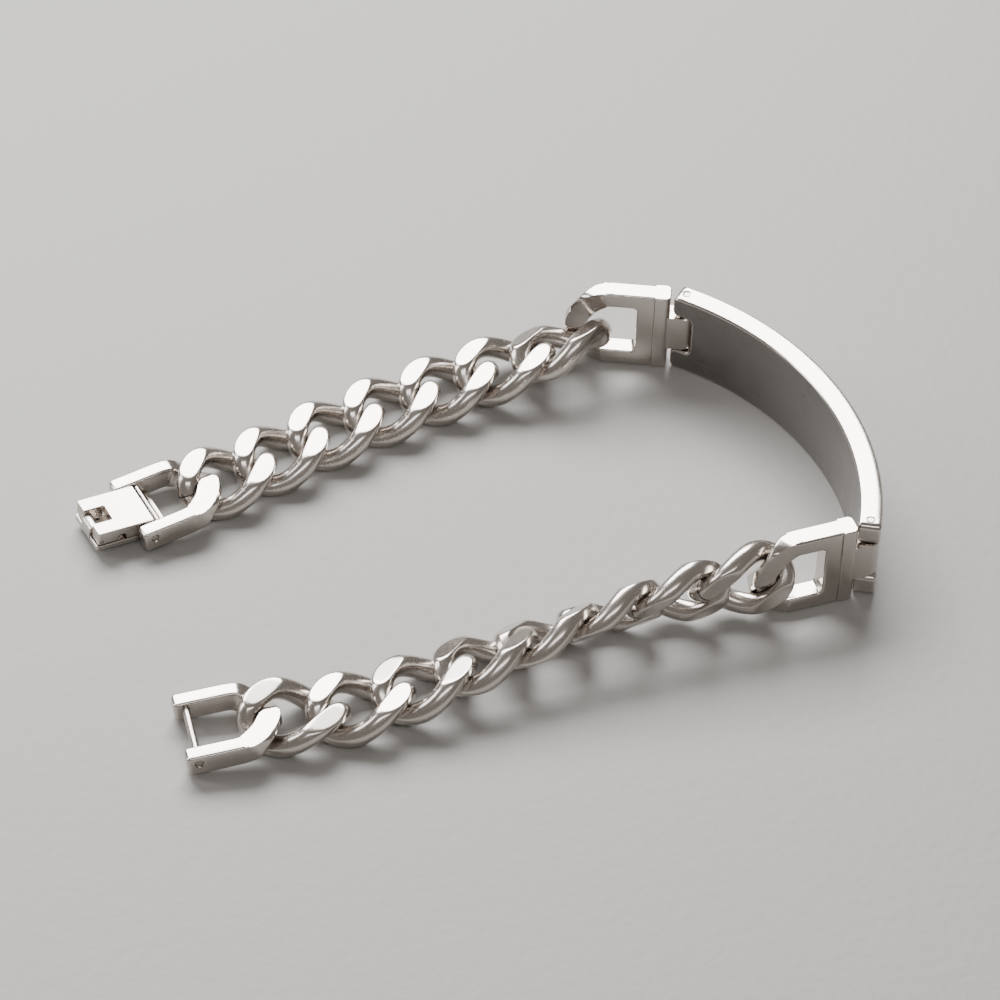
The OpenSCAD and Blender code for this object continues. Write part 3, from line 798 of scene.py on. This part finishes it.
class BRACELET_OT_links(bpy.types.Operator):
    """Makes the curb links of both strands"""
    bl_idname = "bracelet.links"
    bl_label = "Curb links"

    def execute(self, context):
        sizes = context.scene.bracelet_sizes
        tree = link_tree()
        values = {
            "Wire": sizes.wire, "Half length": sizes.half_length, "Half width": sizes.half_width,
            "Filed height": sizes.filed, "Filed edge": sizes.filed_edge, "Twist": sizes.twist,
            "Stations": 120, "Sides": 48, "Finish": MATERIALS["links"]}
        sockets = {s.name: s.identifier for s in tree.interface.items_tree
                   if s.in_out == "INPUT"}
        for side, places in (("clasp_side", CLASP_LINKS), ("catch_side", CATCH_LINKS)):
            points = bpy.data.meshes.new(side + "_points")
            points.from_pydata([p.translation * MM for p in places], [], [])
            points.attributes.new("turn", "FLOAT_VECTOR", "POINT")
            points.attributes.new("seam_at", "FLOAT", "POINT")
            for i, p in enumerate(places):
                points.attributes["turn"].data[i].vector = p.to_euler()
                by_clasp = side == "clasp_side" and i == len(places) - 1
                seam = sizes.last_seam if by_clasp else sizes.seam
                points.attributes["seam_at"].data[i].value = seam
            rig = linked(side + "_rig", points)
            modifier = rig.modifiers.new("links", "NODES")
            modifier.node_group = tree
            for name, value in values.items():
                modifier[sockets[name]] = value
            graph = context.evaluated_depsgraph_get()
            mesh = bpy.data.meshes.new_from_object(rig.evaluated_get(graph))
            bpy.data.objects.remove(rig)
            obj = linked(side + "_links", mesh)
            names = [f"{side}_link_{i + 1}" for i in range(len(places))]
            for name, p in zip(names, places):
                low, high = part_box(name)
                if ((low + high) / 2 - p.translation * MM).length > 1 * MM:
                    raise RuntimeError(f"{name} is not where its solid is")
            ride(obj, side + "_strand", names)
        return {"FINISHED"}


class BRACELET_OT_end_links(bpy.types.Operator):
    """Makes the two end links and the pins between their arms"""
    bl_idname = "bracelet.end_links"
    bl_label = "End links"

    def execute(self, context):
        edge = context.scene.bracelet_sizes.edge / MM
        pin_place = Matrix.Translation((0, 0, END_LINK["pin_rise"]))
        width = END_LINK["width"]
        for side, place in (("clasp", CLASP_END_PLACE), ("catch", CATCH_END_PLACE)):
            bm = bent_frame(-END_LINK["inset"], END_LINK, cap=END_LINK["cap"])
            bores = [moved(rod(width + 2 * PAST, BORE_D), pin_place)]
            for y in (-1, 1):
                mouth = Matrix.Translation((0, y * width / 2, 0))
                bores.append(moved(rod(*MOUTH), pin_place @ mouth))
            bm = smooth(moved(joined(bm, bores, "DIFFERENCE"), place))
            piece(side + "_end_frame", bm, side + "_side_strand", [side + "_end_link"],
                  ["polished"])
            bm = moved(rod(width - 2 * RECESS, PIN_D, edge * 0.8), place @ pin_place)
            piece(side + "_cross_pin", smooth(bm), side + "_side_strand", [side + "_pin"],
                  ["pin"])
        return {"FINISHED"}


class BRACELET_OT_clasp(bpy.types.Operator):
    """Makes the clasp's block, its snap leaf and the leaf's pin"""
    bl_idname = "bracelet.clasp"
    bl_label = "Clasp"

    def execute(self, context):
        edge = context.scene.bracelet_sizes.edge / MM
        fine = edge * 0.8
        c, leaf = CLASP, LEAF
        bottom, wide = c["top"] - c["thick"], c["wide"] / 2
        free, slot = -c["reach"], c["slot_wide"] / 2
        place = (CLASP_END_PLACE @ Matrix.Translation((0, 0, END_LINK["pin_rise"]))
                 @ Matrix.Rotation(math.radians(CLASP_END.rise - CLASP_RISE), 4, "Y"))
        hinge_x = leaf["hinge_inset"] + free
        hinge_z = bottom + leaf["hinge_inset"] - leaf["hinge_drop"]
        hinge = Matrix.Translation((hinge_x, 0, hinge_z))

        # The block, seen from above
        far, slot_end = free + c["long"], free + c["slot_long"]
        corners = [(free, -wide, c["free_corner"]), (far, -wide, c["corner"]),
                   (far, wide, c["corner"]), (free, wide, c["free_corner"]),
                   (free, slot, c["slot_corner"]), (slot_end, slot, c["corner"]),
                   (slot_end, -slot, c["corner"]), (free, -slot, c["slot_corner"])]
        block = prism(rounded(corners, 4), bottom, c["top"], fine, 2)
        # The groove for the catch's pin, arched above, and the bores of the clasp's and leaf's pins
        r, x = c["groove_r"], c["groove_x"]
        arch = bottom + c["groove_deep"] - c["groove_r"]
        cuts = [moved(rod(c["wide"] + 2 * PAST, 2 * r), Matrix.Translation((x, 0, arch))),
                box((x - r + APART, -wide - PAST, bottom - PAST),
                    (x + r - APART, wide + PAST, arch)),
                rod(c["wide"] + 3 * PAST, c["bore"]),
                moved(rod(c["wide"] + 4 * PAST, leaf["block_bore"]), hinge)]
        bm = smooth(moved(joined(block, cuts, "DIFFERENCE"), place))
        piece("clasp_body", bm, "clasp_block", ["clasp_block"], ["block"])

        # The leaf under it, with the ridge that snaps over the catch's pin, and a lip at its tip
        top, half = bottom - leaf["gap"], leaf["wide"] / 2
        low, side = top - LAP, half - 3 * APART
        sheet = box((free - leaf["overhang"], -half, top - leaf["thick"]), (leaf["tip"], half, top),
                    fine, leaf["corner"])
        x, t = leaf["ridge_x"], leaf["ridge_thick"] / 2
        ridge = box((x - t + APART, -side, low), (x + t - APART, side, leaf["ridge_high"]))
        snap = moved(rod(leaf["wide"] - 2 * APART, leaf["ridge_thick"], leaf["chamfer"]),
                     Matrix.Translation((x, 0, leaf["ridge_top"])))
        lip = box((leaf["tip"] - leaf["lip"], -side, low),
                  (leaf["tip"] - APART, side, top + leaf["lip_high"]), edge, leaf["lip_corner"])
        r, tongue = leaf["knuckle_r"], slot - leaf["knuckle_play"]
        knuckle = moved(rod(2 * tongue, 2 * r, fine), hinge)
        foot = box((hinge_x - r + APART, APART - tongue, low),
                   (hinge_x + r - APART, tongue - APART, hinge_z))
        bm = joined(sheet, [ridge, snap, lip, knuckle, foot], "UNION")
        bm = joined(bm, [moved(rod(c["slot_wide"], leaf["bore"]), hinge)], "DIFFERENCE")
        piece("snap_leaf", smooth(moved(bm, place)), "clasp_leaf", ["clasp_leaf"],
              ["block"])

        bm = moved(rod(c["wide"] - 2 * RECESS, leaf["pin"], leaf["chamfer"]), place @ hinge)
        piece("leaf_hinge_pin", smooth(bm), "clasp_block", ["leaf_pin"], ["pin"])
        return {"FINISHED"}


def area_light(name, where, size, power):
    """A white rectangle of light, aimed at the origin."""
    data = bpy.data.lights.new(name, "AREA")
    data.shape, data.size, data.size_y = "RECTANGLE", *[s * MM for s in size]
    data.energy = power
    lamp = linked(name, data)
    lamp.location = Vector(where) * MM
    lamp.rotation_euler = (-Vector(where)).to_track_quat("-Z", "Y").to_euler()


class BRACELET_OT_stage(bpy.types.Operator):
    """Makes the floor, the soft light and the camera"""
    bl_idname = "bracelet.stage"
    bl_label = "Stage"

    def execute(self, context):
        scene = context.scene
        bm = bmesh.new()
        bmesh.ops.create_grid(bm, x_segments=1, y_segments=1, size=2.0)
        mesh = bpy.data.meshes.new("floor")
        bm.to_mesh(mesh)
        bm.free()
        # A hair below what lies on it, so that the two never share a plane
        floor = linked("floor", mesh)
        floor.location.z = -0.02 * MM
        # Pale painted card: matt, with a faint tooth
        paint = bpy.data.materials.new("matt_painted_card")
        paint.use_nodes = True
        tree = paint.node_tree
        shader = tree.nodes["Principled BSDF"]
        shader.inputs["Base Color"].default_value = (*scene.bracelet_finish.floor, 1)
        shader.inputs["Roughness"].default_value = 0.5
        place = add(tree, "ShaderNodeTexCoord").outputs["Object"]
        grain = add(tree, "ShaderNodeTexNoise",
                    {"Vector": place, "Scale": 1 / (1.5 * MM), "Detail": 3.0}).outputs["Fac"]
        relief = add(tree, "ShaderNodeBump",
                     {"Height": grain, "Strength": 0.25, "Distance": 0.2 * MM}).outputs[0]
        tree.links.new(relief, shader.inputs["Normal"])
        mesh.materials.append(paint)

        # A plain grey room, a large soft light behind and two weak ones at the left and in front
        world = bpy.data.worlds.new("dim_room")
        scene.world = world
        world.use_nodes = True
        room = world.node_tree.nodes["Background"].inputs
        room["Color"].default_value = (*linear("#9A9590"), 1)
        room["Strength"].default_value = 0.75
        area_light("back_softbox", (-140, 460, 440), (620, 330), 10)
        area_light("left_strip", (-520, 60, 260), (160, 420), 1.5)
        area_light("front_strip", (60, -420, 560), (560, 110), 1.0)

        data = bpy.data.cameras.new("camera")
        data.lens, data.sensor_width = 180, 36
        data.clip_start, data.clip_end = 0.01, 10
        camera = linked("camera", data)
        # Placed as the photograph's camera, from the right angles of the plate and the frames
        aim, distance = Vector((2.70, 9.63, 0)) * MM, 588.9 * MM
        elevation, roll = 44, 2.5
        back = along(-90, elevation)
        camera.matrix_world = (Matrix.Translation(aim + back * distance)
                               @ (-back).to_track_quat("-Z", "Y").to_matrix().to_4x4()
                               @ Matrix.Rotation(math.radians(roll), 4, "Z"))
        scene.camera = camera
        return {"FINISHED"}


STEPS = (BRACELET_OT_plate, BRACELET_OT_connectors, BRACELET_OT_links, BRACELET_OT_end_links,
         BRACELET_OT_clasp, BRACELET_OT_stage)


class BRACELET_PT_panel(bpy.types.Panel):
    bl_idname = "BRACELET_PT_panel"
    bl_label = "Bracelet"
    bl_space_type = "VIEW_3D"
    bl_region_type = "UI"
    bl_category = "Bracelet"

    def draw(self, context):
        for group in (context.scene.bracelet_sizes, context.scene.bracelet_finish):
            for name in group.__annotations__:
                self.layout.prop(group, name)
        for step in STEPS:
            self.layout.operator(step.bl_idname)


CLASSES = (BraceletSizes, BraceletFinish, *STEPS, BRACELET_PT_panel)


def register():
    for cls in CLASSES:
        bpy.utils.register_class(cls)
    bpy.types.Scene.bracelet_sizes = bpy.props.PointerProperty(type=BraceletSizes)
    bpy.types.Scene.bracelet_finish = bpy.props.PointerProperty(type=BraceletFinish)


def unregister():
    del bpy.types.Scene.bracelet_finish
    del bpy.types.Scene.bracelet_sizes
    for cls in reversed(CLASSES):
        bpy.utils.unregister_class(cls)


def main():
    """Makes the whole bracelet and its stage."""
    register()
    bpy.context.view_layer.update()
    make_materials()
    bpy.ops.bracelet.plate()
    bpy.ops.bracelet.connectors()
    bpy.ops.bracelet.links()
    bpy.ops.bracelet.end_links()
    bpy.ops.bracelet.clasp()
    bpy.ops.bracelet.stage()


if __name__ == "__main__":
    main()
